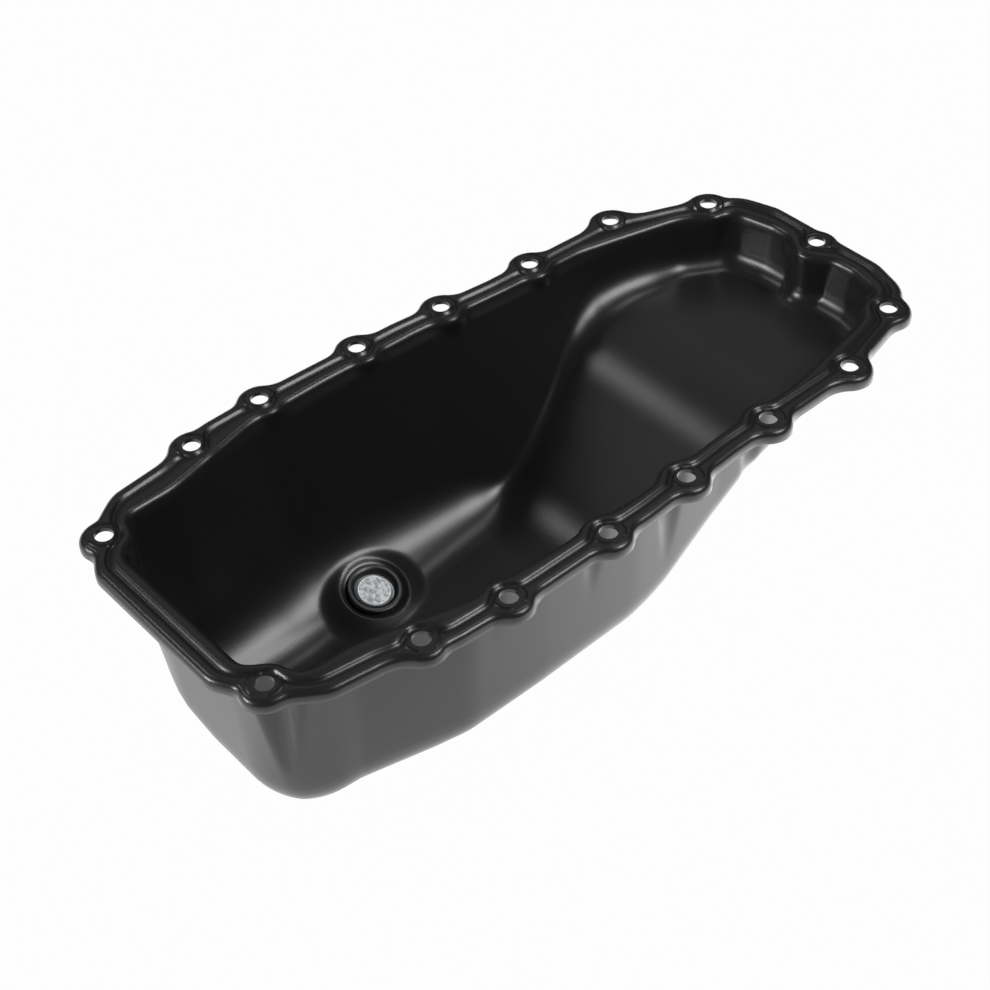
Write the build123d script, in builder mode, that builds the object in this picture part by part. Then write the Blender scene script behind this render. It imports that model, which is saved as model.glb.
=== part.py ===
from build123d import *
import os
from math import cos, radians, sin, tan

# Engine oil pan: one deep-drawn steel shell with a bolt flange, and its drain hardware
# Frame: origin mid-way along the bolt flange on the sealing plane, +Z up out of the mouth,
# +X towards the shallow end, +Y towards the side that the drain plug sits on
# All sizes are in millimetres

# Sheet and flange
sheet = 1.5                  # steel thickness
bend_radius = 2.2            # outer radius where the flange edge turns down
lip_drop = 5.2               # height of the turned-down edge, from the sealing face
mouth_radius = 2.2           # rounding from the sealing face into the walls
wall_top = 2.3               # the walls start to lean this far down, just under the rounding
lip_reach = 6.2              # flange edge, outside the middle line of the bolt flange
lobe_radius = 9.3            # flange edge round each bolt
lobe_blend = 10.0            # hollow between a lobe and the straight edge

# Bolt holes: pairs across the flange and one hole at the shallow end
bolt_hole = 7.0              # clearance for M6
hole_pairs = [               # distance along, half the distance across
    (-156.0, 48.7),
    (-105.2, 68.0),
    (-70.7, 72.8),
    (-24.2, 72.3),
    (16.3, 69.8),
    (61.0, 67.3),
    (105.5, 66.9),
]
end_pair = (143.4, 50.0)     # the pair that sits round the shallow end
end_hole = 156.0
end_offset = -2.7            # the shallow end's three holes lie this far to one side

# Middle line of the flange, which the sealing groove and the edge follow
flange_line = [              # along, half across, corner radius
    (-163.0, 35.0, 12.0),
    (-152.0, 51.5, 6.0),
    (-142.0, 60.0, 12.0),
    (-119.0, 62.8, 30.0),
    (-95.0, 70.6, 30.0),
    (-66.0, 71.4, 60.0),
    (-6.0, 70.0, 60.0),
    (41.0, 65.6, 60.0),
    (102.0, 64.0, 25.0),
]
flange_end = [               # the same, moved across by end_offset
    (140.0, 51.0, 20.0),
    (153.0, 41.5, 12.0),
    (157.5, 27.0, 15.0),
]

# Sealing groove pressed into the flange
groove_width = 3.4
groove_depth = 0.9
groove_slope = 45.0          # lean of its sides from upright
groove_keep_off = 6.0        # its middle line passes this far inside each bolt
groove_blend = 6.0

# Depths inside the pan
sump_depth = 84.0            # sealing face to the deep floor
tray_depth = 24.0            # sealing face to the shallow floor
wall_depth = sump_depth + 6.0

# Walls: corners of the mouth, and of the same wall carried down to wall_depth
wall_corners = [             # mouth x, y, radius, foot x, y, radius
    (-156.0, 51.5, 14.0, -150.5, 46.0, 20.0),
    (-123.0, 52.5, 40.0, -120.0, 48.0, 40.0),
    (-80.0, 63.5, 40.0, -82.0, 56.0, 40.0),
    (-46.0, 64.3, 80.0, -56.0, 53.0, 60.0),
    (-1.0, 63.8, 100.0, -6.0, 44.0, 60.0),
    (44.0, 60.2, 60.0, 34.0, 24.0, 40.0),
    (82.0, 58.8, 30.0, 76.0, 27.0, 20.0),
    (96.0, 53.5, 20.0, 96.0, 45.0, 16.0),
    (124.0, 46.5, 25.0, 120.0, 40.0, 20.0),
    (144.0, 33.0, 14.0, 138.0, 28.0, 14.0),
    (148.5, 16.0, 13.0, 142.5, 13.0, 12.0),
    (140.5, -2.7, 7.0, 134.0, -2.7, 6.0),
    (150.0, -24.0, 13.0, 143.0, -21.0, 12.0),
    (146.0, -42.0, 13.0, 140.0, -36.0, 12.0),
    (124.0, -49.0, 25.0, 121.0, -43.0, 20.0),
    (82.0, -59.0, 60.0, 82.0, -52.0, 60.0),
    (44.0, -60.2, 60.0, 44.0, -53.0, 60.0),
    (-1.0, -63.8, 100.0, -1.0, -56.7, 100.0),
    (-46.0, -64.3, 80.0, -46.0, -57.2, 80.0),
    (-80.0, -63.5, 40.0, -80.0, -56.4, 40.0),
    (-123.0, -52.5, 40.0, -123.0, -45.5, 40.0),
    (-156.0, -51.5, 14.0, -150.5, -45.0, 20.0),
]
flute_radius = 11.4          # upright flute in the wall that clears each bolt
flute_blend = 7.0

# Floor, seen from the side: deep sump, slope, shallow tray
floor_line = [               # along, height, corner radius
    (-190.0, -sump_depth - 0.4, 0.0),
    (-91.0, -sump_depth, 150.0),
    (10.0, -sump_depth + 6.4, 40.0),
    (77.0, -tray_depth, 18.0),
    (190.0, -tray_depth, 0.0),
]
foot_radius = 7.0            # inside radius where the walls meet the floor
side_reach = 200.0           # further than the pan is wide

# Drain: a raised seat in the corner of floor and wall, a weld nut, a plug and its washer
drain_x = -59.0
drain_y = 27.0
seat_rise = 6.0              # middle of the seat above the deep floor
seat_tilt = 18.0             # lean of the drain's axis
seat_radius = 14.5
seat_flare = 35.0            # lean of the seat's side from its axis
seat_reach = 26.0            # how far the seat's side is carried down before it is trimmed
nut_radius = 11.3
nut_height = 8.0
nut_countersink = 8.75
nut_edge = 0.8
plug_radius = 8.0            # M16 thread
thread_clearance = 0.08
plug_tip = 6.5               # plug's end above the seat
tip_chamfer = 1.4
plug_flange_radius = 12.0
plug_flange = 2.2
plug_hex = 17.0              # across flats
plug_head = 7.0
washer_radius = 11.5
washer_bore = 8.3
washer_thick = 1.5
sheet_hole = 8.5             # radius of the hole through the seat


def bolt_holes():
    """Centres of all the bolt holes."""
    pairs = [(x, y, 0.0) for x, y in hole_pairs] + [(*end_pair, end_offset)]
    centres = [(x, side * y + across) for x, y, across in pairs for side in (1, -1)]
    return centres + [(end_hole, end_offset)]


def flange_sketch(reach, radius, blend, side):
    """The flange's middle line moved out by reach, with lobes (side 1) or bays (side -1) at the bolts."""
    line = [(x, y, 0.0, r) for x, y, r in flange_line]
    line += [(x, y, end_offset, r) for x, y, r in flange_end]
    far = [(x, y + across) for x, y, across, r in line]
    near = [(x, across - y) for x, y, across, r in reversed(line)]
    corner_radii = [r for x, y, across, r in line]
    with BuildSketch() as outline:
        with BuildLine():
            FilletPolyline(*far, *near, radius=corner_radii + corner_radii[::-1], close=True)
        make_face()
        if reach:
            offset(amount=reach)
        with Locations(*bolt_holes()):
            Circle(radius, mode=Mode.ADD if side > 0 else Mode.SUBTRACT)
        offset(amount=side * blend)
        offset(amount=-side * blend)
    return outline.sketch


def moved_out(corners, reach, closed):
    """Corners (x, y, radius) of an outline drawn clockwise, each moved outwards by reach."""
    result = []
    count = len(corners)
    for i, (x, y, radius) in enumerate(corners):
        here = Vector(x, y)
        before = Vector(*corners[i - 1][:2]) if closed or i > 0 else None
        after = Vector(*corners[(i + 1) % count][:2]) if closed or i < count - 1 else None
        into = (here - before).normalized() if before else (after - here).normalized()
        out = (after - here).normalized() if after else into
        turn = into.X * out.Y - into.Y * out.X
        normal = Vector(-into.Y - out.Y, into.X + out.X)
        moved = here + normal * (reach / (1 + into.dot(out)))
        grown = radius + reach if turn < 0 else radius - reach
        result.append((moved.X, moved.Y, grown))
    return result


def rounded_outline(corners):
    """Closed sketch outline through rounded corners."""
    with BuildSketch() as outline:
        with BuildLine():
            FilletPolyline(*[(x, y) for x, y, r in corners], radius=[r for x, y, r in corners], close=True)
        make_face()
    return outline.sketch


def drawn_body(reach):
    """The drawn form of the walls and floor: reach 0 is the inside, reach sheet is the outside."""
    mouth = moved_out([corner[:3] for corner in wall_corners], reach, True)
    foot = moved_out([corner[3:] for corner in wall_corners], reach, True)
    profile = moved_out(floor_line, -reach, False)
    with BuildPart() as body:
        with BuildSketch(Plane.XY.offset(-wall_top)) as upper:
            add(rounded_outline(mouth))
        with BuildSketch(Plane.XY.offset(-wall_depth)):
            add(rounded_outline(foot))
        loft(ruled=True)
        with BuildSketch(Plane.XZ.offset(-side_reach)):
            with BuildLine():
                bottom = FilletPolyline(*[(x, z) for x, z, r in profile], radius=[r for x, z, r in profile[1:-1]])
                Polyline(bottom @ 1, (profile[-1][0], lip_drop), (profile[0][0], lip_drop), bottom @ 0)
            make_face()
        extrude(amount=2 * side_reach, mode=Mode.INTERSECT)
        floor = body.faces().filter_by(lambda face: face.normal_at().Z < -0.5)
        edges = [edge for face in floor for edge in face.edges()]
        rim = [edge for edge in edges if sum(edge.is_same(other) for other in edges) == 1]
        fillet(rim, foot_radius + reach)
        extrude(upper.sketch, amount=wall_top)
    return body.part


def throat_sketch(reach):
    """The mouth's outline with bays round the bolts, grown by reach."""
    with BuildSketch() as outline:
        add(rounded_outline(moved_out([corner[:3] for corner in wall_corners], reach, True)))
        with Locations(*bolt_holes()):
            Circle(flute_radius - reach, mode=Mode.SUBTRACT)
        offset(amount=-flute_blend)
        offset(amount=flute_blend)
    return outline.sketch


def throat(reach):
    """Upright column inside the wall flutes at the bolts, grown by reach."""
    with BuildPart() as column:
        with BuildSketch():
            add(throat_sketch(reach))
        extrude(amount=-wall_depth)
    return column.part


def groove_wedge(half_width, top, taper):
    """Slab with leaning sides, from top down by the groove's depth."""
    with BuildPart() as wedge:
        with BuildSketch(Plane.XY.offset(top)):
            add(groove_middle)
            offset(amount=half_width)
        extrude(amount=-groove_depth, taper=taper)
    return wedge.part


def groove_ring(half_width, top):
    """Ring with leaning sides along the sealing groove's middle line."""
    with BuildPart() as ring:
        add(groove_wedge(half_width, top, groove_slope))
        add(groove_wedge(-half_width, top, -groove_slope), mode=Mode.SUBTRACT)
    return ring.part


def seat_cone(reach):
    """The drain seat and its flared side, reach below the seat's inner face."""
    drop = seat_reach - reach
    narrow = seat_radius + reach * tan(radians(seat_flare)) - reach / cos(radians(seat_flare))
    with BuildPart() as cone:
        with BuildSketch(drain_plane.offset(-reach)):
            Circle(narrow)
        extrude(amount=-drop, taper=-seat_flare)
    return cone.part


# The drain's own plane: its middle is the seat's middle and its normal the drain's axis
drain_plane = Plane(
    origin=(drain_x, drain_y, seat_rise - sump_depth),
    x_dir=(1, 0, 0),
    z_dir=(0, -sin(radians(seat_tilt)), cos(radians(seat_tilt))),
)
drain_axis = Axis(drain_plane.origin, drain_plane.z_dir)

# Flange block: full depth of the turned-down edge, hollow from below
with BuildPart() as flange:
    with BuildSketch():
        add(flange_sketch(lip_reach, lobe_radius, lobe_blend, 1))
    extrude(amount=-lip_drop)
    fillet(flange.faces().sort_by(Axis.Z)[-1].edges(), bend_radius)
    with BuildSketch(Plane.XY.offset(-sheet)) as under:
        add(flange_sketch(lip_reach - sheet, lobe_radius - sheet, lobe_blend + sheet, 1))
    extrude(amount=sheet - lip_drop, mode=Mode.SUBTRACT)

# Outer skin of the walls, with the seat's hollow below
with BuildPart() as skin:
    add(drawn_body(sheet))
    add(throat(sheet), mode=Mode.INTERSECT)
    add(seat_cone(sheet), mode=Mode.SUBTRACT)

# Inside of the walls, with the seat standing up into it
with BuildPart() as cavity:
    add(drawn_body(0.0))
    add(throat(0.0), mode=Mode.INTERSECT)
    add(seat_cone(0.0), mode=Mode.SUBTRACT)

# Rounded edge of the sheet at the mouth, as a ring outside the mouth's outline
with BuildPart() as mouth_edge:
    with BuildSketch():
        add(throat_sketch(mouth_radius + sheet))
        add(throat_sketch(0.0), mode=Mode.SUBTRACT)
    extrude(amount=-wall_top)
    fillet(mouth_edge.faces().sort_by(Axis.Z)[-1].inner_wires()[0].edges(), mouth_radius)

# What that rounding takes out of the mouth
with BuildPart() as mouth_flare:
    with BuildSketch():
        add(throat_sketch(mouth_radius + sheet))
    extrude(amount=-wall_top)
    add(mouth_edge.part, mode=Mode.SUBTRACT)

# The pan: flange and skin, less the inside, the groove and the holes
groove_middle = flange_sketch(0.0, groove_keep_off, groove_blend, -1)
groove_lean = sheet * tan(radians(groove_slope / 2))
with BuildPart() as oil_pan:
    add(flange.part)
    add(skin.part)
    add(groove_ring(groove_width / 2 + groove_lean, -sheet))
    add(cavity.part, mode=Mode.SUBTRACT)
    add(mouth_flare.part, mode=Mode.SUBTRACT)
    add(groove_ring(groove_width / 2, 0.0), mode=Mode.SUBTRACT)
    with Locations(*bolt_holes()):
        Hole(bolt_hole / 2)
    with Locations(drain_plane):
        Hole(sheet_hole, depth=2 * sheet)

# Weld nut on the seat
with BuildPart() as drain_nut:
    with BuildSketch(drain_plane):
        Circle(nut_radius)
        Circle(plug_radius + thread_clearance, mode=Mode.SUBTRACT)
    extrude(amount=nut_height)
    rims = drain_nut.faces().sort_by(drain_axis)[-1].edges().sort_by(SortBy.LENGTH)
    chamfer(rims[0], nut_countersink - plug_radius)
    fillet(rims[-1], nut_edge)

# Sealing washer under the seat
with BuildPart() as drain_washer:
    with BuildSketch(drain_plane.offset(-sheet)):
        Circle(washer_radius)
        Circle(washer_bore, mode=Mode.SUBTRACT)
    extrude(amount=-washer_thick)

# Drain plug: shank up through the nut, flange and hexagon head below
head_plane = drain_plane.offset(-sheet - washer_thick)
with BuildPart() as drain_plug:
    with BuildSketch(head_plane):
        Circle(plug_radius)
    extrude(amount=sheet + washer_thick + plug_tip)
    chamfer(drain_plug.faces().sort_by(drain_axis)[-1].edges(), tip_chamfer)
    with BuildSketch(head_plane):
        Circle(plug_flange_radius)
    extrude(amount=-plug_flange)
    with BuildSketch(head_plane):
        RegularPolygon(plug_hex / 2, 6, major_radius=False)
    extrude(amount=-plug_head)

oil_pan.part.label = "oil_pan"
drain_nut.part.label = "drain_nut"
drain_washer.part.label = "drain_washer"
drain_plug.part.label = "drain_plug"

os.makedirs("parts", exist_ok=True)
export_step(oil_pan.part, "parts/oil_pan.step")
export_step(drain_nut.part, "parts/drain_nut.step")
export_step(drain_washer.part, "parts/drain_washer.step")
export_step(drain_plug.part, "parts/drain_plug.step")
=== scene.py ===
import math
import bmesh
import bpy
import numpy as np
from mathutils import Matrix, Vector


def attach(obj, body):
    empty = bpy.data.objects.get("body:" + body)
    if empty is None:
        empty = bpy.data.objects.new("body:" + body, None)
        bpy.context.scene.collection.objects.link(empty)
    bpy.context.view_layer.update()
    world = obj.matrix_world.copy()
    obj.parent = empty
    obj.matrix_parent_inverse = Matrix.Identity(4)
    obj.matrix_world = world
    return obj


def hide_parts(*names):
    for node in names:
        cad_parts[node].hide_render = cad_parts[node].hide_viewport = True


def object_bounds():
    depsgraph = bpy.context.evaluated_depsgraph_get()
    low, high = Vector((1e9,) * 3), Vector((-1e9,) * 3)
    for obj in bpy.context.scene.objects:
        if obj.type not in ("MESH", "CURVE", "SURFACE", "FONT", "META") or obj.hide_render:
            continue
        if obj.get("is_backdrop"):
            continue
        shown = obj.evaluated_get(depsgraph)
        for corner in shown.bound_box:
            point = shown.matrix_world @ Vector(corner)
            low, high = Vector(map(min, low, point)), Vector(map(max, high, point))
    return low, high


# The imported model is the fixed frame, in metres
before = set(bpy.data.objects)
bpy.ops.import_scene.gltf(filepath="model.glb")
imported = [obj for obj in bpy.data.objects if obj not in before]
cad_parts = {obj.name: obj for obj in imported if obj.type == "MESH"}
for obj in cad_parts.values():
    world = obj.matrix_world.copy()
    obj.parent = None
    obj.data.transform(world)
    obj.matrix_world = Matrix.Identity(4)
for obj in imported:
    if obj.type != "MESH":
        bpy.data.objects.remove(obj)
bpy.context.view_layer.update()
mm = 0.001
print("stage: frame loaded")

# Camera: stands and looks as the photograph does
camera = {
    "place": (-387.39, -469.04, 503.89),   # mm, in the model's frame
    "heading": 38.312,                     # degrees from +Y towards +X
    "downTilt": 42.028,
    "roll": 3.236,
    "focal": 2101.0,                       # in pixels of a 990 pixel wide picture
    "pictureWidth": 990.0,
    "sensor": 36.0,
}


def makeCamera(values):
    data = bpy.data.cameras.new("photoCamera")
    data.sensor_width = values["sensor"]
    data.lens = values["focal"] * values["sensor"] / values["pictureWidth"]
    data.clip_start = 0.01
    data.clip_end = 20.0
    heading = math.radians(values["heading"])
    tilt = math.radians(values["downTilt"])
    look = Vector((math.cos(tilt) * math.sin(heading), math.cos(tilt) * math.cos(heading), -math.sin(tilt)))
    right = Vector((math.cos(heading), -math.sin(heading), 0.0))
    turned = Matrix.Rotation(math.radians(values["roll"]), 3, look) @ right
    up = turned.cross(look)
    axes = Matrix((turned, up, -look)).transposed()
    camObject = bpy.data.objects.new("photoCamera", data)
    bpy.context.scene.collection.objects.link(camObject)
    camObject.matrix_world = Matrix.Translation(Vector(values["place"]) * mm) @ axes.to_4x4()
    bpy.context.scene.camera = camObject


makeCamera(camera)
print("stage: camera placed")

# Pan: the drawn sheet, in millimetres, as in the model's source
pan = {
    "sheet": 1.5,
    "columns": 880,           # points round the loop
    "rows": 64,               # rows down the inside of the tub
    "outerStep": 2,           # the outside has one row for so many inside
    "boltHole": 3.5,
    "holePairs": [(-156.0, 48.7), (-105.2, 68.0), (-70.7, 72.8), (-24.2, 72.3), (16.3, 69.8),
                  (61.0, 67.3), (105.5, 66.9)],
    "endPair": (143.4, 50.0),
    "endHole": 156.0,
    "endOffset": -2.7,
    # middle line of the flange: along, half across, corner radius
    "flangeLine": [(-163.0, 35.0, 12.0), (-152.0, 51.5, 6.0), (-142.0, 60.0, 12.0),
                   (-119.0, 62.8, 30.0), (-95.0, 70.6, 30.0),
                   (-66.0, 71.4, 60.0), (-6.0, 70.0, 60.0), (41.0, 65.6, 60.0), (102.0, 64.0, 25.0)],
    "flangeEnd": [(140.0, 51.0, 20.0), (153.0, 41.5, 12.0), (157.5, 27.0, 15.0)],
    "lipReach": 6.2,
    "lobeRadius": 9.3,
    "lobeBlend": 10.0,
    "lipDrop": 5.2,
    "bendRadius": 2.9,
    "grooveKeepOff": 6.0,
    "grooveBlend": 6.0,
    "grooveDepth": 1.3,
    "grooveInner": 1.7,       # run of the groove's inner side
    "grooveOuter": 2.2,       # run of its outer side
    # walls at the mouth: x, y, corner radius, without the bay at the end bolt
    "mouthLine": [(-156.0, 51.5, 14.0), (-123.0, 52.5, 40.0), (-80.0, 63.5, 40.0), (-46.0, 64.3, 80.0),
                  (-1.0, 63.8, 100.0), (44.0, 60.2, 60.0), (82.0, 58.8, 30.0), (98.0, 55.0, 20.0),
                  (126.0, 48.0, 25.0), (147.0, 36.0, 14.0), (151.0, 18.0, 13.0), (152.0, -26.0, 13.0),
                  (148.0, -43.5, 13.0), (125.0, -50.5, 25.0), (82.0, -59.0, 60.0),
                  (44.0, -60.2, 60.0), (-1.0, -63.8, 100.0), (-46.0, -64.3, 80.0), (-80.0, -63.5, 40.0),
                  (-123.0, -52.5, 40.0), (-156.0, -51.5, 14.0)],
    # the same walls carried down to footDepth
    "footLine": [(-150.5, 38.0, 25.0), (-120.0, 39.5, 20.0), (-82.0, 41.5, 40.0), (-50.0, 38.5, 60.0),
                 (-4.0, 34.0, 60.0), (34.0, 24.0, 60.0), (76.0, 27.0, 30.0), (96.0, 44.0, 20.0),
                 (120.0, 39.0, 20.0), (138.0, 28.0, 14.0), (142.5, 13.0, 12.0), (143.0, -21.0, 12.0),
                 (140.0, -36.0, 12.0), (121.0, -43.0, 20.0), (82.0, -52.0, 60.0),
                 (44.0, -53.0, 60.0), (-1.0, -56.7, 100.0), (-46.0, -57.2, 80.0), (-80.0, -56.4, 40.0),
                 (-122.0, -47.0, 12.0), (-150.5, -46.0, 24.0)],
    "footDepth": 90.0,
    "mouthRadius": (1.7, 3.6),   # least and most of the rounding into the walls
    "fluteRadius": (10.4, 11.0),  # bays round the bolts: far side, near side
    "fluteBlend": 7.0,
    "bay": (6.5, -3.0, 8.0),  # depth, middle and spread of the bay in the end wall
    # floor from the side: along, height, corner radius
    "floorLine": [(-190.0, -84.4, 0.0), (-91.0, -84.0, 150.0), (12.5, -77.7, 55.0), (77.0, -24.0, 70.0),
                  (190.0, -24.0, 0.0)],
    # inside radius where the near and end walls meet the floor, and the far wall: along x
    "footRadius": [(-150.0, 18.0), (0.0, 18.0), (30.0, 13.0), (60.0, 9.0), (75.0, 7.5), (150.0, 7.5)],
    "farFootRadius": [(-150.0, 26.0), (-100.0, 30.0), (-50.0, 27.0), (-20.0, 20.0), (0.0, 16.0),
                      (16.0, 3.0), (54.0, 3.0), (80.0, 12.0), (108.0, 13.0),
                      (124.0, 8.0), (150.0, 7.5)],
    "spine": (-98.0, 96.0),
}
drain = {
    "place": (-59.0, 27.0, -78.0),
    "tilt": 18.0,
    "ringRadius": 15.5,       # the seat's raised ring round the nut
    "ringRise": 2.2,
    "ringInner": (11.9, 13.7),
    "seatFlare": 32.0,
    "edgeRadius": 3.0,
    "footBlend": 5.0,
    "openRadius": 9.2,        # hole in the sheet under the nut
    "openDepth": 6.0,
    "closeRows": (3.0, 19.0),  # how much closer the tub's rows are round the drain, and how far out
    "mouthEdge": (8.5, 9.0, 7.0),  # least and most radius and least height of the nut's mouth in the model
}


def roundedLine(corners, closed):
    # points along a line whose corners are arcs
    count = len(corners)
    points = []
    for i, (x, y, radius) in enumerate(corners):
        here = np.array((x, y))
        if not closed and i in (0, count - 1):
            points.append(here)
            continue
        before = np.array(corners[i - 1][:2])
        after = np.array(corners[(i + 1) % count][:2])
        into = (here - before) / np.linalg.norm(here - before)
        out = (after - here) / np.linalg.norm(after - here)
        turn = math.atan2(into[0] * out[1] - into[1] * out[0], into.dot(out))
        cut = radius * math.tan(abs(turn) / 2)
        side = math.copysign(1.0, turn)
        centre = here - into * cut + side * radius * np.array((-into[1], into[0]))
        first = here - into * cut - centre
        for step in np.linspace(0.0, turn, max(3, int(abs(turn) * radius / 0.25))):
            c, s = math.cos(step), math.sin(step)
            points.append(centre + np.array((c * first[0] - s * first[1], s * first[0] + c * first[1])))
    return np.array(points)


def spacedLoop(points, count):
    # the same closed loop, as evenly spaced points, with smooth outward normals
    ring = np.vstack([points, points[:1]])
    along = np.concatenate([[0.0], np.cumsum(np.linalg.norm(np.diff(ring, axis=0), axis=1))])
    places = np.linspace(0.0, along[-1], count, endpoint=False)
    even = np.stack([np.interp(places, along, ring[:, k]) for k in (0, 1)], axis=1)
    run = np.roll(even, -1, axis=0) - np.roll(even, 1, axis=0)
    normal = np.stack([-run[:, 1], run[:, 0]], axis=1)
    for _ in range(6):
        normal = (np.roll(normal, 1, axis=0) + 2 * normal + np.roll(normal, -1, axis=0)) / 4
    return even, normal / np.linalg.norm(normal, axis=1, keepdims=True)


def rayReach(starts, aims, loop):
    # distance from each start along its aim to a closed loop
    a = loop
    b = np.roll(loop, -1, axis=0) - a
    reach = np.full(len(starts), 1e9)
    for i in range(len(starts)):
        cross = aims[i, 0] * b[:, 1] - aims[i, 1] * b[:, 0]
        gap = a - starts[i]
        t = (gap[:, 0] * b[:, 1] - gap[:, 1] * b[:, 0]) / np.where(abs(cross) < 1e-12, 1e-12, cross)
        u = (gap[:, 0] * aims[i, 1] - gap[:, 1] * aims[i, 0]) / np.where(abs(cross) < 1e-12, 1e-12, cross)
        hits = t[(u >= -1e-9) & (u <= 1 + 1e-9) & (t > 0)]
        reach[i] = hits.min()
    return reach


def roundMeet(a, b, r):
    # where both distances are negative, with the edge rounded to radius r:
    # min(-r, max(a, b)) + length of (max(r + a, 0), max(r + b, 0))
    return np.minimum(-r, np.maximum(a, b)) + np.hypot(np.maximum(r + a, 0), np.maximum(r + b, 0))


def bisect(field, low, high, steps=36):
    # where a field that grows along the ray passes zero
    low, high = np.array(low, float), np.array(high, float)
    for _ in range(steps):
        middle = (low + high) / 2
        outside = field(middle) > 0
        high = np.where(outside, middle, high)
        low = np.where(outside, low, middle)
    return (low + high) / 2


def boltHoles(values):
    pairs = [(x, y, 0.0) for x, y in values["holePairs"]] + [(*values["endPair"], values["endOffset"])]
    centres = [(x, side * y + across) for x, y, across in pairs for side in (1, -1)]
    return np.array(centres + [(values["endHole"], values["endOffset"])])


holes = boltHoles(pan)


def nearestHole(points):
    # the bolt hole nearest to each point
    gaps = np.linalg.norm(points[..., None, :] - holes, axis=-1)
    return holes[gaps.argmin(axis=-1)]


def joinDiscs(beyond, points, normal, radius, blend):
    # an edge and the discs round the holes, joined by arcs that touch both:
    # beyond is the distance past the edge, and the result is negative inside
    offset = points - nearestHole(points)
    gap = np.linalg.norm(offset, axis=-1)
    rise = (offset * normal).sum(axis=-1)
    aside = abs(offset[:, 0] * normal[:, 1] - offset[:, 1] * normal[:, 0])
    under = rise - beyond
    middle = np.sqrt(np.maximum((radius + blend) ** 2 - (under + blend) ** 2, 0))
    arc = blend - np.hypot(aside - middle, beyond - blend)
    steep = abs(aside - middle) * (blend + under) < middle * abs(beyond - blend)
    inArc = (aside < middle) & (beyond < blend) & steep
    return np.where(inArc, arc, np.minimum(beyond, gap - radius))


def flangeMiddle(values):
    line = [(x, y, 0.0, r) for x, y, r in values["flangeLine"]]
    line += [(x, y, values["endOffset"], r) for x, y, r in values["flangeEnd"]]
    far = [(x, y + across, r) for x, y, across, r in line]
    near = [(x, across - y, r) for x, y, across, r in reversed(line)]
    return roundedLine(far + near, True)


# Columns: rays outwards from the mouth's line, on which every edge of the flange is found
base, outward = spacedLoop(roundedLine(pan["mouthLine"], True), pan["columns"])
columns = len(base)
middleReach = rayReach(base, outward, flangeMiddle(pan))


def onRays(reach):
    # x and y at a distance outwards from the mouth's line
    return base + outward * np.asarray(reach)[:, None]


def lipField(d):
    # edge of the flange: the middle line + lipReach, joined to the lobes round the holes
    beyond = d - middleReach - pan["lipReach"]
    return joinDiscs(beyond, onRays(d), outward, pan["lobeRadius"], pan["lobeBlend"])


def grooveField(d):
    # middle of the groove: the flange's middle line, led round the inside of each hole
    return -joinDiscs(middleReach - d, onRays(d), -outward, pan["grooveKeepOff"], pan["grooveBlend"])


def bayDepth(points):
    # bay in the end wall: depth * exp(-((y - middle) / spread)^2), at the shallow end only
    depth, middle, spread = pan["bay"]
    return depth * np.exp(-((points[:, 1] - middle) / spread) ** 2) * (points[:, 0] > 100.0)


farFlute, nearFlute = pan["fluteRadius"]
fluteRadius = np.where(base[:, 1] > 0, farFlute, nearFlute)


def wallField(d):
    # walls at the mouth: the mouth's line less the bay, led round the inside of each hole
    points = onRays(d)
    return -joinDiscs(-d - bayDepth(points), points, -outward, fluteRadius, pan["fluteBlend"])


def smoothed(values, times):
    # a row of values round the loop with its steps evened out
    for _ in range(times):
        values = (np.roll(values, 1) + 2 * values + np.roll(values, -1)) / 4
    return values


lipReach = bisect(lipField, np.zeros(columns), np.full(columns, 40.0))
grooveReach = bisect(grooveField, np.full(columns, -12.0), np.full(columns, 30.0))
wallReach = np.minimum(bisect(wallField, np.full(columns, -20.0), np.full(columns, 20.0)), 0.0)
grooveReach = smoothed(grooveReach, 3)
wallReach = smoothed(wallReach, 6)
# the rounding into the walls takes what room the groove leaves
roomLeft = grooveReach - pan["grooveInner"] - wallReach - 0.4
mouthRadius = smoothed(np.clip(roomLeft, *pan["mouthRadius"]), 12)
seam = wallReach + mouthRadius + 0.1
print("stage: outlines, flange at most", round(float(lipReach.max()), 2), "mm wide")


def meshFrom(name, vertices, faces, sharp=40.0):
    # mesh from millimetre points and faces, smooth apart from real edges
    mesh = bpy.data.meshes.new(name)
    mesh.from_pydata((np.asarray(vertices) * mm).tolist(), [], [list(map(int, f)) for f in faces])
    mesh.validate()
    mesh.polygons.foreach_set("use_smooth", np.ones(len(mesh.polygons), bool))
    mesh.set_sharp_from_angle(angle=math.radians(sharp))
    piece = bpy.data.objects.new(name, mesh)
    bpy.context.scene.collection.objects.link(piece)
    return piece


def ringFaces(rows, count):
    # quads between neighbouring rows and from the last row to the first, each row a closed ring
    a, b = np.meshgrid(np.arange(rows), np.arange(count), indexing="ij")
    below = (a + 1) % rows
    after = (b + 1) % count
    quads = np.stack([a * count + b, a * count + after, below * count + after, below * count + b], axis=-1)
    return quads.reshape(-1, 4)


def ringPoints(reach, height):
    # one row of points round the loop
    return np.column_stack([onRays(reach), np.broadcast_to(height, columns)])


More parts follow.
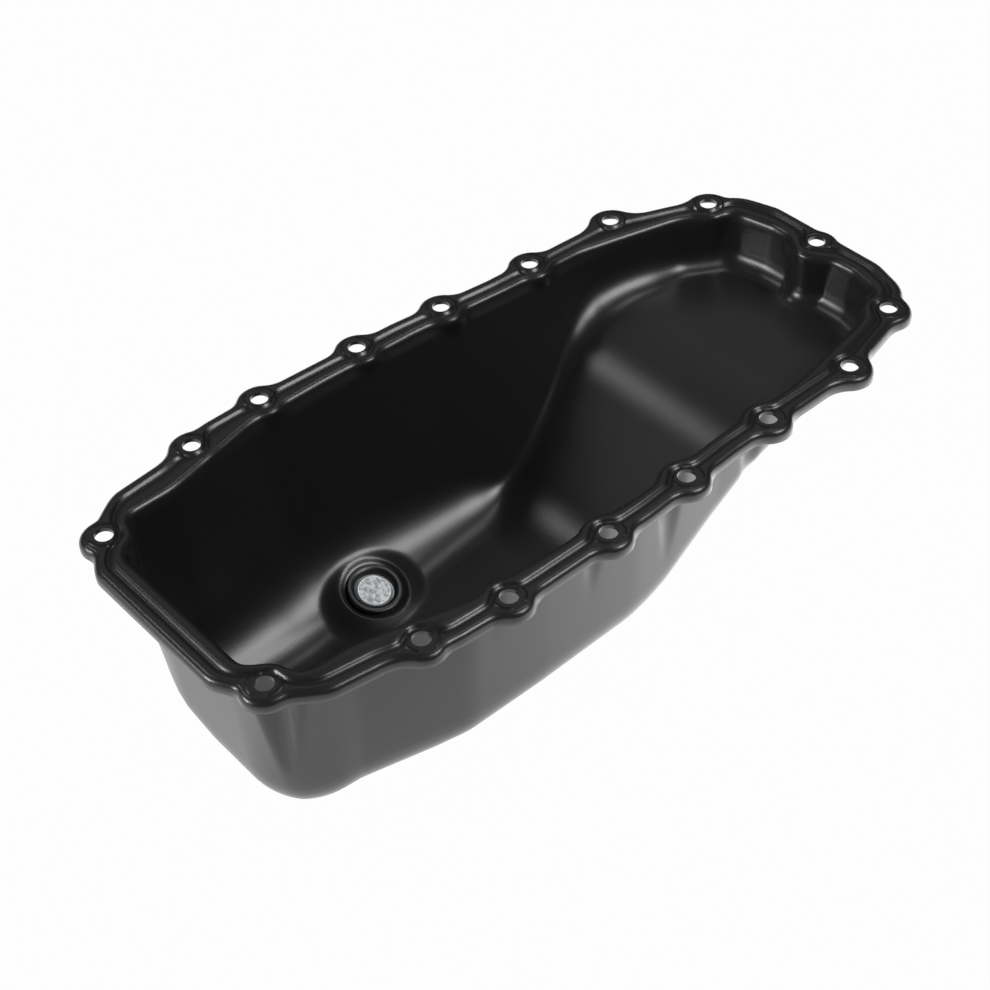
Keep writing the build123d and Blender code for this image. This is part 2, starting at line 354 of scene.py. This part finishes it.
# Flange: a closed section swept round the rays
def flangeRows(values):
    # from the seam on the inner land out to the turned-down edge and back below;
    # groove's depth = grooveDepth * (half - half cos(2 pi share))^0.8
    sheet, bend, drop = values["sheet"], values["bendRadius"], values["lipDrop"]
    inner = np.maximum(grooveReach - values["grooveInner"], seam + 0.1)
    outer = grooveReach + values["grooveOuter"]
    top = [(seam, 0.0)]
    for share in np.linspace(0.0, 1.0, 13):
        swing = 0.5 - 0.5 * np.cos(2 * math.pi * share)
        top.append((inner + (outer - inner) * share, -values["grooveDepth"] * swing ** 0.8))
    flatEnd = lipReach - bend
    top.append((outer + (flatEnd - outer) * 0.5, 0.0))
    for turn in np.linspace(0.0, 90.0, 9):
        a = math.radians(turn)
        top.append((flatEnd + bend * math.sin(a), -bend + bend * math.cos(a)))
    cut = 0.3
    edge = [(lipReach, -drop + cut), (lipReach - cut, -drop),
            (lipReach - sheet + cut, -drop), (lipReach - sheet, -drop + cut)]
    hollow = bend - sheet
    under = []
    for turn in np.linspace(90.0, 0.0, 5):
        a = math.radians(turn)
        under.append((flatEnd + hollow * math.sin(a), -bend + hollow * math.cos(a)))
    for share in np.linspace(1.0, 0.0, 9):
        swing = 0.5 - 0.5 * np.cos(2 * math.pi * share)
        away = inner - cut + (outer - inner + 2 * cut) * share
        under.append((away, -sheet - values["grooveDepth"] * swing ** 0.8))
    under.append((seam, -sheet))
    return top + edge + under


def makeFlange(values):
    rows = flangeRows(values)
    points = np.vstack([ringPoints(reach, height) for reach, height in rows])
    faces = ringFaces(len(rows), columns)
    return meshFrom("panFlange", points, faces, 50.0)


def cutHoles(piece, values):
    # one closed cutter of round pins
    sides = 48
    points, faces = [], []
    for x, y in holes:
        start = len(points)
        for height in (3.0, -8.0):
            for k in range(sides):
                a = 2 * math.pi * k / sides
                radius = values["boltHole"]
                points.append((x + radius * math.cos(a), y + radius * math.sin(a), height))
        faces.append([start + k for k in range(sides)])
        faces.append([start + sides + k for k in reversed(range(sides))])
        for k in range(sides):
            after = (k + 1) % sides
            faces.append([start + k, start + sides + k, start + sides + after, start + after])
    cutter = meshFrom("holeCutter", points, faces)
    cut = piece.modifiers.new("holes", "BOOLEAN")
    cut.operation = "DIFFERENCE"
    cut.solver = "EXACT"
    cut.object = cutter
    graph = bpy.context.evaluated_depsgraph_get()
    mesh = bpy.data.meshes.new_from_object(piece.evaluated_get(graph))
    piece.modifiers.clear()
    piece.data = mesh
    bpy.data.objects.remove(cutter)
    mesh.polygons.foreach_set("use_smooth", np.ones(len(mesh.polygons), bool))
    mesh.set_sharp_from_angle(angle=math.radians(50.0))


def markBolts(piece):
    # UV map: millimetres along and across the flange from the nearest bolt hole, over 100
    mesh = piece.data
    corners = np.empty(len(mesh.loops), np.int32)
    mesh.loops.foreach_get("vertex_index", corners)
    places = np.empty(len(mesh.vertices) * 3)
    mesh.vertices.foreach_get("co", places)
    plan = places.reshape(-1, 3)[corners, :2] / mm
    faceOf = np.repeat(np.arange(len(mesh.polygons)), [len(p.vertices) for p in mesh.polygons])
    centres = np.stack([np.bincount(faceOf, plan[:, k]) / np.bincount(faceOf) for k in (0, 1)], axis=1)
    hole = nearestHole(centres)
    column = ((hole[:, None, :] - base) ** 2).sum(-1).argmin(axis=1)
    across = outward[column][faceOf]
    offset = plan - hole[faceOf]
    along = offset[:, 0] * across[:, 1] - offset[:, 1] * across[:, 0]
    layer = mesh.uv_layers.new(name="boltPlace")
    layer.data.foreach_set("uv", np.stack([along, (offset * across).sum(1)], axis=1).ravel() / 100.0)


flangePiece = makeFlange(pan)
cutHoles(flangePiece, pan)
markBolts(flangePiece)
print("stage: flange", len(flangePiece.data.polygons), "faces")

# Tub: rays from a spine inside the pan meet the drawn surface, which a field describes
floorPoints = roundedLine(pan["floorLine"], False)
spineX = smoothed(np.clip(base[:, 0], *pan["spine"]), 40)
spinePoint = np.stack([spineX, np.full(columns, -1.0)], axis=1)
span = np.linalg.norm(spinePoint - base, axis=1)
inwardAim = (spinePoint - base) / span[:, None]


def planAt(inward):
    # x and y at a distance inwards along each column's ray
    return [base[:, k][:, None] + inwardAim[:, k][:, None] * inward for k in (0, 1)]


def smoothTable(pairs, x, width=8.0):
    # a table read with its corners rounded off
    xs, ys = zip(*pairs)
    shifts = np.linspace(-width, width, 9)
    return sum(np.interp(x + shift, xs, ys) for shift in shifts) / len(shifts)


def loopDistance(points, loop, normals):
    # distance inwards from a closed loop, and the index of the loop's nearest point
    flat = points.reshape(-1, 2)
    inwards = np.empty(len(flat))
    index = np.empty(len(flat), int)
    for start in range(0, len(flat), 4000):
        block = flat[start:start + 4000]
        squares = (block ** 2).sum(1)[:, None] - 2 * block @ loop.T + (loop ** 2).sum(1)
        near = squares.argmin(axis=1)
        gap = np.full(len(block), 1e9)
        for step in (1, -1):
            run = loop[(near + step) % len(loop)] - loop[near]
            away = block - loop[near]
            share = np.clip((away * run).sum(1) / (run ** 2).sum(1), 0, 1)
            gap = np.minimum(gap, np.linalg.norm(away - run * share[:, None], axis=1))
        side = -np.sign(((block - loop[near]) * normals[near]).sum(1) - 1e-9)
        inwards[start:start + 4000] = gap * side
        index[start:start + 4000] = near
    return inwards.reshape(points.shape[:-1]), index.reshape(points.shape[:-1])


footLoop, footOut = spacedLoop(roundedLine(pan["footLine"], True), pan["columns"])
# tables of each distance along each ray, closest together near the walls
tableSteps = 96
tablePower = 1.6
tableShare = np.linspace(0.0, 1.0, tableSteps) ** tablePower
tablePlan = base[:, None, :] + (spinePoint - base)[:, None, :] * tableShare[None, :, None]
tableMouth, tableIndex = loopDistance(tablePlan, base, outward)
tableMouth[:, 0] = 0.0
tableFootGap = loopDistance(tablePlan, footLoop, footOut)[0]
tableFlute = -wallReach[tableIndex]
tableFloor = np.interp(tablePlan[..., 0], floorPoints[:, 0], floorPoints[:, 1])
slopeX = np.interp(tablePlan[..., 0] + 0.5, floorPoints[:, 0], floorPoints[:, 1]) - np.interp(
    tablePlan[..., 0] - 0.5, floorPoints[:, 0], floorPoints[:, 1])
tableCosine = 1.0 / np.sqrt(1.0 + slopeX ** 2)
# from the near side's foot radius to the far side's, over the first 30 mm past the middle
farShare = np.clip(tablePlan[..., 1] / 30.0, 0, 1)
tableFoot = smoothTable(pan["footRadius"], tablePlan[..., 0]) * (1 - farShare) + smoothTable(
    pan["farFootRadius"], tablePlan[..., 0], 5.0) * farShare
columnGrid = np.arange(columns)[:, None]
drainTilt = math.radians(drain["tilt"])
drainAxis = np.array((0.0, -math.sin(drainTilt), math.cos(drainTilt)))


def readTable(table, share):
    # a table's value at a share of the way along each column's ray
    place = np.clip(share, 0.0, 1.0) ** (1 / tablePower) * (tableSteps - 1)
    low = np.minimum(place.astype(int), tableSteps - 2)
    part = place - low
    return table[columnGrid, low] * (1 - part) + table[columnGrid, low + 1] * part


def seatField(x, y, z):
    # the drain seat's solid: under its tilted face and inside its flared side,
    # face = height - rise * step(radius), side = (radius - ringRadius + (height - rise) tan flare) cos flare
    gap = np.stack([x, y, z], axis=-1) - np.array(drain["place"])
    height = gap @ drainAxis
    radius = np.sqrt(np.maximum((gap ** 2).sum(-1) - height ** 2, 0))
    flare = math.radians(drain["seatFlare"])
    low, high = drain["ringInner"]
    step = np.clip((radius - low) / (high - low), 0, 1)
    face = height - drain["ringRise"] * step * step * (3 - 2 * step)
    side = (radius - drain["ringRadius"] + (height - drain["ringRise"]) * math.tan(flare)) * math.cos(flare)
    return roundMeet(face, side, drain["edgeRadius"])


def panField(inward, z):
    # negative inside the pan. At depth s of the way down, the wall lies where
    # (1 - s) * distance from the mouth's line + s * distance from the foot's line = 0
    share = inward / span[:, None]
    mouthGap = readTable(tableMouth, share)
    footGap = readTable(tableFootGap, share)
    flute = readTable(tableFlute, share)
    down = np.clip(-z / pan["footDepth"], 0.0, 1.0)
    lean = (mouthGap - footGap) / pan["footDepth"]
    rest = flute - down * (mouthGap - footGap)
    clear = 0.5 * (rest + np.sqrt(rest ** 2 + 0.3 ** 2)) * (1 - np.exp(-flute / 0.4))
    wall = (clear - mouthGap + down * (mouthGap - footGap)) / np.sqrt(1 + lean ** 2)
    floor = (readTable(tableFloor, share) - z) * readTable(tableCosine, share)
    shape = roundMeet(wall, floor, readTable(tableFoot, share))
    x, y = planAt(inward)
    return roundMeet(shape, -seatField(x, y, z), drain["footBlend"])


eye = -4.5        # height of the spine that the rays start from


def sectionAt(turn):
    # turn 0 looks level at the wall, a quarter turn looks straight down
    def field(reach):
        inward = span[:, None] - reach * np.cos(turn)
        z = eye - reach * np.sin(turn)
        return panField(np.maximum(inward, -1.0), z)
    reach = bisect(field, np.zeros(turn.shape), np.full(turn.shape, 170.0))
    return span[:, None] - reach * np.cos(turn), eye - reach * np.sin(turn)


def tubRows(rowCount):
    # rays spaced so that the rows are evenly spaced along each section
    coarse = np.linspace(0.0, math.pi / 2, 160) * np.ones((columns, 1))
    inward, z = sectionAt(coarse)
    # closer rows round the drain: weight = 1 + closer * exp(-(distance / reach)^2)
    closer, reach = drain["closeRows"]
    x, y = planAt(inward)
    gap = np.stack([x, y, z], axis=-1) - np.array(drain["place"])
    away = np.sqrt(gap[..., 0] ** 2 + gap[..., 1] ** 2 + gap[..., 2] ** 2)
    weight = 1 + closer * np.exp(-(away / reach) ** 2)
    steps = np.hypot(np.diff(inward, axis=1), np.diff(z, axis=1)) * weight[:, 1:]
    along = np.concatenate([np.zeros((columns, 1)), np.cumsum(steps, axis=1)], axis=1)
    wanted = np.linspace(0.0, 1.0, rowCount)
    turn = np.stack([np.interp(wanted * along[i, -1], along[i], coarse[i]) for i in range(columns)])
    for _ in range(8):
        turn = (np.roll(turn, 1, axis=0) + 2 * turn + np.roll(turn, -1, axis=0)) / 4
    inward, z = sectionAt(turn)
    x, y = planAt(inward)
    return np.stack([x, y, z], axis=-1), inward, z


def fieldNormals(inward, z):
    # outward normals of the surface, from the grid of its own points
    x, y = planAt(inward)
    points = np.stack([x, y, z], axis=-1)
    along = np.roll(points, -1, axis=0) - np.roll(points, 1, axis=0)
    down = np.gradient(points, axis=1)
    normal = np.cross(along, down)
    return normal / np.maximum(np.linalg.norm(normal, axis=-1, keepdims=True), 1e-12)


def makeTub(values):
    grid, inward, z = tubRows(values["rows"])
    normal = fieldNormals(inward, z)
    # the last two rows crowd together at the spine, so they take the third's normals
    normal[:, -1] = normal[:, -3]
    normal[:, -2] = normal[:, -3]
    if normal[0, -3, 2] > 0:
        normal = -normal
    sheet = values["sheet"]
    rows = [ringPoints(seam, 0.0)]
    for turn in np.linspace(0.0, 80.0, 7):
        a = math.radians(turn)
        away = wallReach + mouthRadius * (1 - math.sin(a))
        rows.append(ringPoints(away, -mouthRadius * (1 - math.cos(a))))
    rows += [grid[:, k] for k in range(grid.shape[1])]
    inside = len(rows)
    outer = grid + normal * sheet
    rows += [outer[:, k] for k in range(grid.shape[1] - 1, 1, -values["outerStep"])]
    hollow = np.maximum(mouthRadius - sheet, 0.3)
    for turn in (75.0, 50.0, 25.0, 0.0):
        a = math.radians(turn)
        away = wallReach + sheet + hollow * (1 - math.sin(a))
        rows.append(ringPoints(away, -sheet - hollow * (1 - math.cos(a))))
    rows.append(ringPoints(wallReach + sheet + hollow + 0.1, -sheet))
    points = np.vstack(rows)
    faces = ringFaces(len(rows), columns)
    # no faces from the inside's last row to the outside's first, in the floor's middle
    ring = np.repeat(np.arange(len(rows)), columns)
    faces = faces[ring != inside - 1]
    # the drain's hole
    gap = points - np.array(drain["place"])
    height = gap @ drainAxis
    away = np.sqrt(np.maximum((gap ** 2).sum(1) - height ** 2, 0))
    inHole = (away < drain["openRadius"]) & (abs(height) < drain["openDepth"])
    faces = faces[~inHole[faces].any(axis=1)]
    return meshFrom("panTub", points, faces, 60.0)


tubPiece = makeTub(pan)
print("stage: tub", len(tubPiece.data.polygons), "faces")


# Finishes
def node(tree, kind, x, y, **values):
    made = tree.nodes.new(kind)
    made.location = (x, y)
    for key, value in values.items():
        setattr(made, key, value)
    return made


blackCoat = {
    "colour": (0.0145, 0.0147, 0.015),
    "roughness": 0.3,
    "grain": 900.0,           # specks to a metre
    "grainHeight": 0.02,
    "stampRadius": 0.058,     # pressed arcs beside each bolt hole, in hundredths of a metre
    "stampWidth": 0.008,
    "stampHeight": 0.26,      # in millimetres
    "stampOpen": 0.4,        # how far round the arcs reach
}


def mathStep(tree, operation, x, y, first, second=None):
    # a maths step on sockets or plain numbers
    made = node(tree, "ShaderNodeMath", x, y, operation=operation)
    for slot, value in enumerate((first, second)):
        if value is None:
            continue
        if isinstance(value, (int, float)):
            made.inputs[slot].default_value = value
        else:
            tree.links.new(value, made.inputs[slot])
    return made.outputs[0]


def makeBlackCoat(values):
    material = bpy.data.materials.new("blackCoat")
    material.use_nodes = True
    tree = material.node_tree
    shader = tree.nodes["Principled BSDF"]
    shader.inputs["Base Color"].default_value = (*values["colour"], 1)
    shader.inputs["Roughness"].default_value = values["roughness"]
    place = node(tree, "ShaderNodeTexCoord", -1500, 0)
    grain = node(tree, "ShaderNodeTexNoise", -700, -400)
    grain.inputs["Scale"].default_value = values["grain"]
    grain.inputs["Detail"].default_value = 2.0
    tree.links.new(place.outputs["Object"], grain.inputs["Vector"])
    # arcs: height = max(1 - |radius - stampRadius| / stampWidth, 0) * clamp(6 (|along| / radius - stampOpen))
    bolt = node(tree, "ShaderNodeUVMap", -1700, -100, uv_map="boltPlace")
    split = node(tree, "ShaderNodeSeparateXYZ", -1500, -100)
    tree.links.new(bolt.outputs["UV"], split.inputs[0])
    length = node(tree, "ShaderNodeVectorMath", -1500, -300, operation="LENGTH")
    tree.links.new(bolt.outputs["UV"], length.inputs[0])
    radius = length.outputs["Value"]
    beyond = mathStep(tree, "SUBTRACT", -1300, -300, radius, values["stampRadius"])
    away = mathStep(tree, "ABSOLUTE", -1100, -300, beyond)
    share = mathStep(tree, "DIVIDE", -1000, -300, away, values["stampWidth"])
    band = mathStep(tree, "MAXIMUM", -800, -300, mathStep(tree, "SUBTRACT", -900, -300, 1.0, share), 0.0)
    along = mathStep(tree, "ABSOLUTE", -1300, -100, split.outputs["X"])
    gap = mathStep(tree, "MAXIMUM", -1300, -200, radius, 0.001)
    sideways = mathStep(tree, "DIVIDE", -1100, -100, along, gap)
    past = mathStep(tree, "SUBTRACT", -1000, -100, sideways, values["stampOpen"])
    wanted = mathStep(tree, "MAXIMUM", -800, -100, mathStep(tree, "MULTIPLY", -900, -100, past, 6.0), 0.0)
    arcs = mathStep(tree, "MULTIPLY", -600, -200, band, mathStep(tree, "MINIMUM", -700, -100, wanted, 1.0))
    fine = mathStep(tree, "MULTIPLY", -500, -400, grain.outputs["Fac"], values["grainHeight"])
    raised = mathStep(tree, "MULTIPLY", -500, -200, arcs, values["stampHeight"])
    height = mathStep(tree, "ADD", -400, -300, fine, raised)
    bump = node(tree, "ShaderNodeBump", -300, -200)
    bump.inputs["Strength"].default_value = 1.0
    bump.inputs["Distance"].default_value = 0.001
    tree.links.new(height, bump.inputs["Height"])
    tree.links.new(bump.outputs["Normal"], shader.inputs["Normal"])
    return material


blackMaterial = makeBlackCoat(blackCoat)
for piece in (flangePiece, tubPiece):
    piece.data.materials.clear()
    piece.data.materials.append(blackMaterial)
    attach(piece, "pan")
    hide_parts("oil_pan")

# Drain pieces that stand lower in the photograph than in the model:
# what is more than "above" over the seat is let down by "drop", and the mouth is opened to the radius "mouth"
lowered = [
    {"name": "weldNut", "stands": "drain_nut", "body": "pan", "slot": "black_coat",
     "above": 1.0, "drop": 5.0, "mouth": 9.5},
    {"name": "drainPlug", "stands": "drain_plug", "body": "plug", "slot": "zinc",
     "above": 1.0, "drop": 5.5, "mouth": 0.0},
]


def makeLowered(values):
    # a copy of the model's piece; height and radius are measured along and from the drain's axis
    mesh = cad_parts[values["stands"]].data.copy()
    mesh.name = values["name"]
    shape = bmesh.new()
    shape.from_mesh(mesh)
    bmesh.ops.remove_doubles(shape, verts=shape.verts, dist=1e-6)
    for face in shape.faces:
        face.smooth = True
    for edge in shape.edges:
        edge.smooth = edge.calc_face_angle(0.0) < math.radians(20.0)
    shape.to_mesh(mesh)
    shape.free()
    points = np.empty(len(mesh.vertices) * 3)
    mesh.vertices.foreach_get("co", points)
    points = points.reshape(-1, 3)
    gap = points / mm - np.array(drain["place"])
    height = gap @ drainAxis
    side = gap - height[:, None] * drainAxis
    radius = np.linalg.norm(side, axis=1)
    if values["mouth"]:
        least, most, above = drain["mouthEdge"]
        edge = (radius > least) & (radius < most) & (height > above)
        points[edge] += side[edge] / radius[edge][:, None] * (values["mouth"] - radius[edge])[:, None] * mm
    points[height > values["above"]] -= drainAxis * values["drop"] * mm
    mesh.vertices.foreach_set("co", points.ravel())
    mesh.update()
    piece = bpy.data.objects.new(values["name"], mesh)
    bpy.context.scene.collection.objects.link(piece)
    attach(piece, values["body"])
    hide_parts(values["stands"])
    return piece


loweredPieces = [makeLowered(values) for values in lowered]
print("stage: drain pieces")

zinc = {
    "colour": (0.72, 0.74, 0.76),
    "dark": (0.30, 0.32, 0.33),
    # painted highlight: the lighter zinc colour from the start radius below outwards stands in for the
    # chamfer's reflection of the front light, and covers all zinc further out too
    "rim": (0.92, 0.94, 0.96),
    "roughness": 0.38,
    "metallic": 0.75,
    "spangle": 700.0,
    "rimStart": 6.0,          # mm from the plug's axis
}


def makeZinc(values):
    # zinc plate with a mottled face and a lighter rim, measured from the plug's axis; the lighter rim is a
    # painted highlight for the chamfer's reflection of the front light
    material = bpy.data.materials.new("zincPlate")
    material.use_nodes = True
    tree = material.node_tree
    shader = tree.nodes["Principled BSDF"]
    shader.inputs["Metallic"].default_value = values["metallic"]
    shader.inputs["Roughness"].default_value = values["roughness"]
    place = node(tree, "ShaderNodeTexCoord", -1500, 0)
    centred = node(tree, "ShaderNodeMapping", -1300, 0, vector_type="TEXTURE")
    centred.inputs["Location"].default_value = [v * mm for v in drain["place"]]
    centred.inputs["Rotation"].default_value = (drainTilt, 0, 0)
    tree.links.new(place.outputs["Object"], centred.inputs["Vector"])
    split = node(tree, "ShaderNodeSeparateXYZ", -1100, 0)
    tree.links.new(centred.outputs["Vector"], split.inputs[0])
    across, up = [mathStep(tree, "ABSOLUTE", -1000, 0, split.outputs[axis]) for axis in "XY"]
    squares = mathStep(tree, "ADD", -700, 0, mathStep(tree, "POWER", -900, 0, across, 2.0),
                       mathStep(tree, "POWER", -900, -150, up, 2.0))
    radius = mathStep(tree, "SQRT", -600, 0, squares)
    mottle = node(tree, "ShaderNodeTexNoise", -900, 300)
    mottle.inputs["Scale"].default_value = values["spangle"]
    mottle.inputs["Detail"].default_value = 3.0
    tree.links.new(centred.outputs["Vector"], mottle.inputs["Vector"])
    face = node(tree, "ShaderNodeMapRange", -700, 300)
    face.inputs["From Min"].default_value = 0.38
    face.inputs["From Max"].default_value = 0.62
    tree.links.new(mottle.outputs["Fac"], face.inputs["Value"])
    patches = node(tree, "ShaderNodeMix", -450, 300, data_type="RGBA")
    patches.inputs["A"].default_value = (*values["dark"], 1)
    patches.inputs["B"].default_value = (*values["colour"], 1)
    tree.links.new(face.outputs["Result"], patches.inputs["Factor"])
    # painted highlight: from this radius outwards the colour turns lighter, in place of the chamfer's
    # reflection
    edge = node(tree, "ShaderNodeMapRange", -450, 0)
    edge.inputs["From Min"].default_value = values["rimStart"] * mm
    edge.inputs["From Max"].default_value = (values["rimStart"] + 0.5) * mm
    tree.links.new(radius, edge.inputs["Value"])
    colour = node(tree, "ShaderNodeMix", -200, 200, data_type="RGBA")
    colour.inputs["B"].default_value = (*values["rim"], 1)
    tree.links.new(edge.outputs["Result"], colour.inputs["Factor"])
    tree.links.new(patches.outputs["Result"], colour.inputs["A"])
    tree.links.new(colour.outputs["Result"], shader.inputs["Base Color"])
    return material


zincMaterial = makeZinc(zinc)
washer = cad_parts["drain_washer"]
nutAndPlug = zip(loweredPieces, (blackMaterial, zincMaterial))
for piece, material in (*nutAndPlug, (washer, zincMaterial)):
    mesh = piece.data
    mesh.materials.clear()
    mesh.materials.append(material)
print("stage: finishes")

# Stage: pale floor, soft boxes and a dim room
stage = {
    "floorSize": 6.0,
    "seen": 0.985,            # brightness of the floor to the camera
    "glow": (1.25, 2.5),      # brightness of the floor to the object, at the two ends of its fade
    "fade": (-0.10, 0.12),    # where along x the fade starts and ends
    "room": 0.04,             # brightness of the room to the object
}
boxes = [
    # direction from the object, distance, width and height in metres, power
    {"name": "frontBox", "aim": (0.33, -0.55, 0.77), "distance": 1.6, "size": (0.6, 0.45), "power": 12.5},
    {"name": "backBox", "aim": (-0.27, 0.60, 0.75), "distance": 1.6, "size": (0.3, 0.22), "power": 1.8},
    {"name": "sideBox", "aim": (-0.88, 0.34, 0.33), "distance": 1.6, "size": (0.6, 0.35), "power": 16.0},
    {"name": "highBox", "aim": (0.40, 0.59, 0.70), "distance": 1.6, "size": (1.2, 0.9), "power": 0.9},
    {"name": "topBox", "aim": (0.40, 0.07, 0.91), "distance": 1.6, "size": (0.3, 0.3), "power": 1.4},
]


def makeFloor(values):
    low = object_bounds()[0]
    half = values["floorSize"] / 2
    mesh = bpy.data.meshes.new("paleFloor")
    corners = [(-half, -half, low.z), (half, -half, low.z), (half, half, low.z), (-half, half, low.z)]
    mesh.from_pydata(corners, [], [(0, 1, 2, 3)])
    floor = bpy.data.objects.new("paleFloor", mesh)
    bpy.context.scene.collection.objects.link(floor)
    material = bpy.data.materials.new("paleFloor")
    material.use_nodes = True
    tree = material.node_tree
    tree.nodes.clear()
    ray = node(tree, "ShaderNodeLightPath", -600, 0)
    seen = node(tree, "ShaderNodeEmission", -300, 100)
    seen.inputs["Strength"].default_value = values["seen"]
    lit = node(tree, "ShaderNodeEmission", -300, -100)
    place = node(tree, "ShaderNodeTexCoord", -1000, -200)
    split = node(tree, "ShaderNodeSeparateXYZ", -800, -200)
    tree.links.new(place.outputs["Object"], split.inputs[0])
    fade = node(tree, "ShaderNodeMapRange", -600, -200, interpolation_type="SMOOTHSTEP")
    fade.inputs["From Min"].default_value, fade.inputs["From Max"].default_value = values["fade"]
    fade.inputs["To Min"].default_value, fade.inputs["To Max"].default_value = values["glow"]
    tree.links.new(split.outputs["X"], fade.inputs["Value"])
    tree.links.new(fade.outputs["Result"], lit.inputs["Strength"])
    mix = node(tree, "ShaderNodeMixShader", 0, 0)
    out = node(tree, "ShaderNodeOutputMaterial", 200, 0)
    tree.links.new(ray.outputs["Is Camera Ray"], mix.inputs[0])
    tree.links.new(lit.outputs[0], mix.inputs[1])
    tree.links.new(seen.outputs[0], mix.inputs[2])
    tree.links.new(mix.outputs[0], out.inputs["Surface"])
    mesh.materials.append(material)
    floor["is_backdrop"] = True


def makeRoom(values):
    world = bpy.data.worlds.new("room")
    bpy.context.scene.world = world
    world.use_nodes = True
    tree = world.node_tree
    tree.nodes.clear()
    ray = node(tree, "ShaderNodeLightPath", -600, 0)
    seen = node(tree, "ShaderNodeBackground", -300, 100)
    seen.inputs["Strength"].default_value = values["seen"]
    seen.inputs["Color"].default_value = (1, 1, 1, 1)
    lit = node(tree, "ShaderNodeBackground", -300, -100)
    lit.inputs["Strength"].default_value = values["room"]
    lit.inputs["Color"].default_value = (1, 1, 1, 1)
    mix = node(tree, "ShaderNodeMixShader", 0, 0)
    out = node(tree, "ShaderNodeOutputWorld", 200, 0)
    tree.links.new(ray.outputs["Is Camera Ray"], mix.inputs[0])
    tree.links.new(lit.outputs[0], mix.inputs[1])
    tree.links.new(seen.outputs[0], mix.inputs[2])
    tree.links.new(mix.outputs[0], out.inputs["Surface"])


def makeBox(values):
    light = bpy.data.lights.new(values["name"], "AREA")
    light.shape = "RECTANGLE"
    light.size, light.size_y = values["size"]
    light.energy = values["power"]
    box = bpy.data.objects.new(values["name"], light)
    aim = Vector(values["aim"]).normalized()
    box.location = aim * values["distance"]
    box.rotation_mode = "QUATERNION"
    box.rotation_quaternion = aim.to_track_quat("Z", "Y")
    bpy.context.scene.collection.objects.link(box)


makeFloor(stage)
makeRoom(stage)
for values in boxes:
    makeBox(values)
bpy.context.scene.view_settings.view_transform = "Standard"
print("stage: lights and floor")
